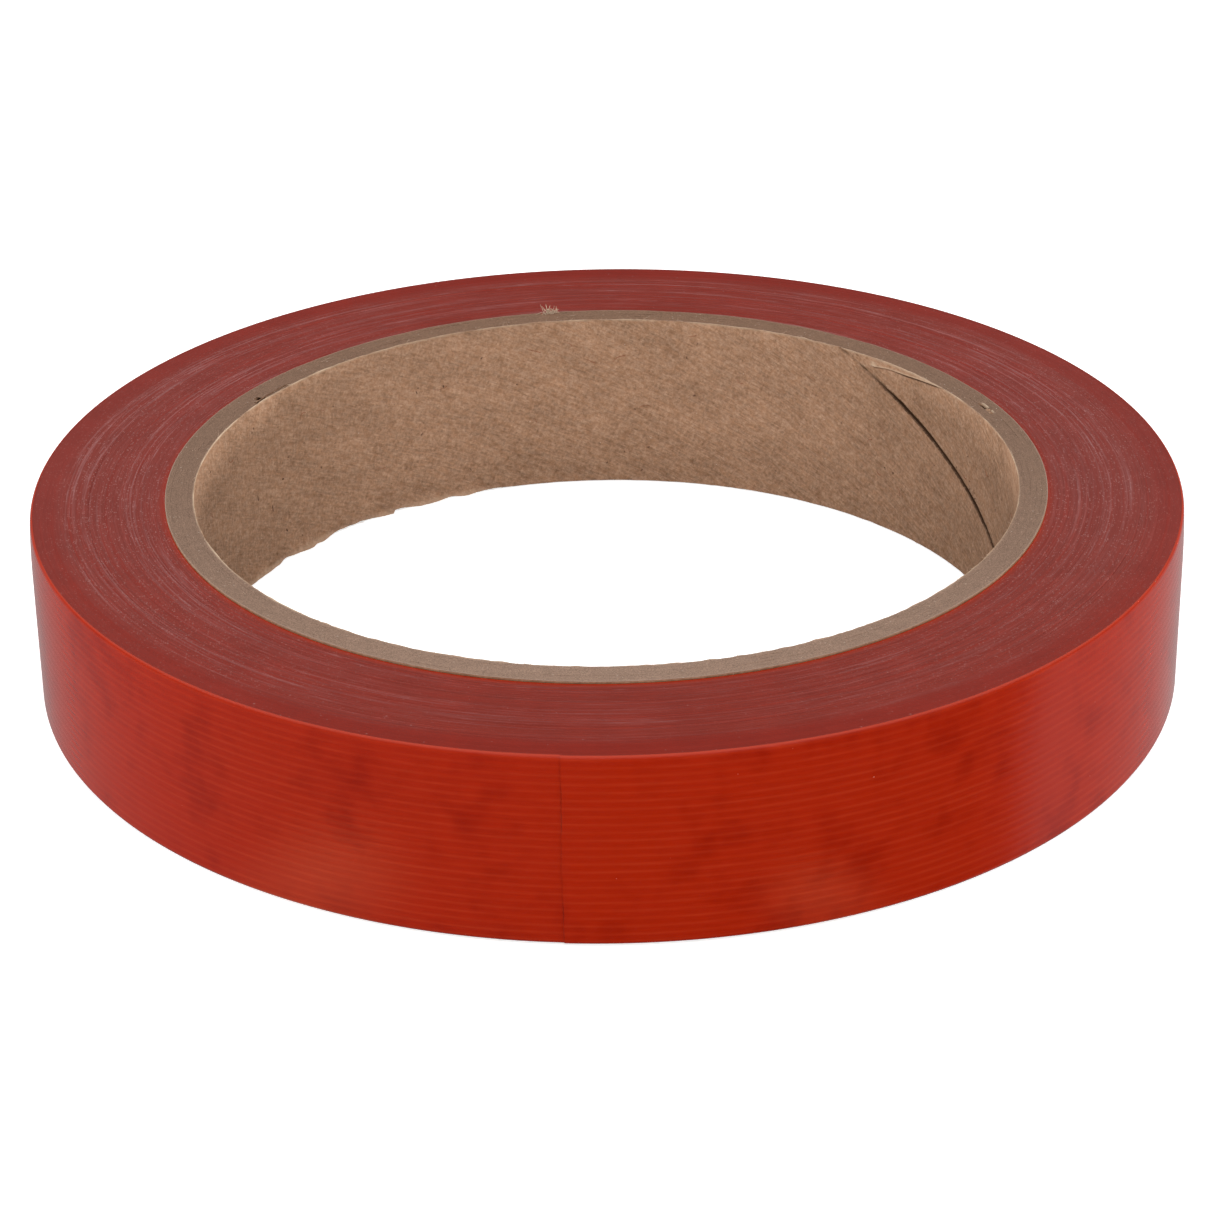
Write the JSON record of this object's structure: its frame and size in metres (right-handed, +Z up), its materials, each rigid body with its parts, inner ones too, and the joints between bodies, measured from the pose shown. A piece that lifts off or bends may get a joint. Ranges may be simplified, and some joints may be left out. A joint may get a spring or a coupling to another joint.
{
  "type": "tape roll",
  "caption": "Narrow roll of ridged glossy strapping tape wound on a spiral paperboard core, with a free end that peels back from the outer turn.",
  "frame": {"origin": "centre of the core's bore on the lower end face, the surface the roll rests on", "axes": "+Z up along the roll's axis; +X and +Y across the roll, with the tape's free edge near -Y; the peeled end swings out towards -Y"},
  "size_m": [0.1063, 0.1064, 0.018],
  "materials": {
    "core_board": "grey-brown spiral-wound board with fine fibres, matt",
    "wound_tape": "stacked edges of slit tape, satin maroon with fine rings",
    "tape_film": "orange-red oriented polypropylene film with fine lengthwise ridges, glossy",
    "adhesive": "thin amber rubber adhesive, wet look"
  },
  "bodies": {
    "roll": {"core_inner_ply": "core_board", "core_ply_2": "core_board", "core_ply_3": "core_board", "core_ply_4": "core_board", "core_outer_ply": "core_board", "first_turn_adhesive": "adhesive", "first_turn_film": "tape_film", "wound_tape_body": "wound_tape", "last_turn_film": "tape_film", "last_turn_adhesive": "adhesive"},
    "free_end_1": {"free_end_film_1": "tape_film", "free_end_adhesive_1": "adhesive"},
    "free_end_2": {"free_end_film_2": "tape_film", "free_end_adhesive_2": "adhesive"},
    "free_end_3": {"free_end_film_3": "tape_film", "free_end_adhesive_3": "adhesive"},
    "free_end_4": {"free_end_film_4": "tape_film", "free_end_adhesive_4": "adhesive"},
    "free_end_5": {"free_end_film_5": "tape_film", "free_end_adhesive_5": "adhesive"},
    "free_end_6": {"free_end_film_6": "tape_film", "free_end_adhesive_6": "adhesive"},
    "free_end_7": {"free_end_film_7": "tape_film", "free_end_adhesive_7": "adhesive"},
    "free_end_8": {"free_end_film_8": "tape_film", "free_end_adhesive_8": "adhesive"}
  },
  "joints": [
    {"name": "peel_1", "type": "hinge", "parent": "roll", "child": "free_end_1", "pos_m": [0.03105, -0.04324, 0.009], "axis": [0, 0, 1], "range_deg": [0, 32]},
    {"name": "peel_2", "type": "hinge", "parent": "free_end_1", "child": "free_end_2", "pos_m": [0.02717, -0.04579, 0.009], "axis": [0, 0, 1], "range_deg": [0, 20]},
    {"name": "peel_3", "type": "hinge", "parent": "free_end_2", "child": "free_end_3", "pos_m": [0.02308, -0.04798, 0.009], "axis": [0, 0, 1], "range_deg": [0, 12]},
    {"name": "peel_4", "type": "hinge", "parent": "free_end_3", "child": "free_end_4", "pos_m": [0.01881, -0.04981, 0.009], "axis": [0, 0, 1], "range_deg": [0, 8]},
    {"name": "peel_5", "type": "hinge", "parent": "free_end_4", "child": "free_end_5", "pos_m": [0.0144, -0.05126, 0.009], "axis": [0, 0, 1], "range_deg": [0, 8]},
    {"name": "peel_6", "type": "hinge", "parent": "free_end_5", "child": "free_end_6", "pos_m": [0.00988, -0.05232, 0.009], "axis": [0, 0, 1], "range_deg": [0, 8]},
    {"name": "peel_7", "type": "hinge", "parent": "free_end_6", "child": "free_end_7", "pos_m": [0.00528, -0.05298, 0.009], "axis": [0, 0, 1], "range_deg": [0, 8]},
    {"name": "peel_8", "type": "hinge", "parent": "free_end_7", "child": "free_end_8", "pos_m": [0.00065, -0.05324, 0.009], "axis": [0, 0, 1], "range_deg": [0, 8]}
  ],
  "couplings": [
    {"joint": "peel_2", "follows": "peel_1", "ratio": 0.625},
    {"joint": "peel_3", "follows": "peel_1", "ratio": 0.375},
    {"joint": "peel_4", "follows": "peel_1", "ratio": 0.25},
    {"joint": "peel_5", "follows": "peel_1", "ratio": 0.25},
    {"joint": "peel_6", "follows": "peel_1", "ratio": 0.25},
    {"joint": "peel_7", "follows": "peel_1", "ratio": 0.25},
    {"joint": "peel_8", "follows": "peel_1", "ratio": 0.25}
  ]
}
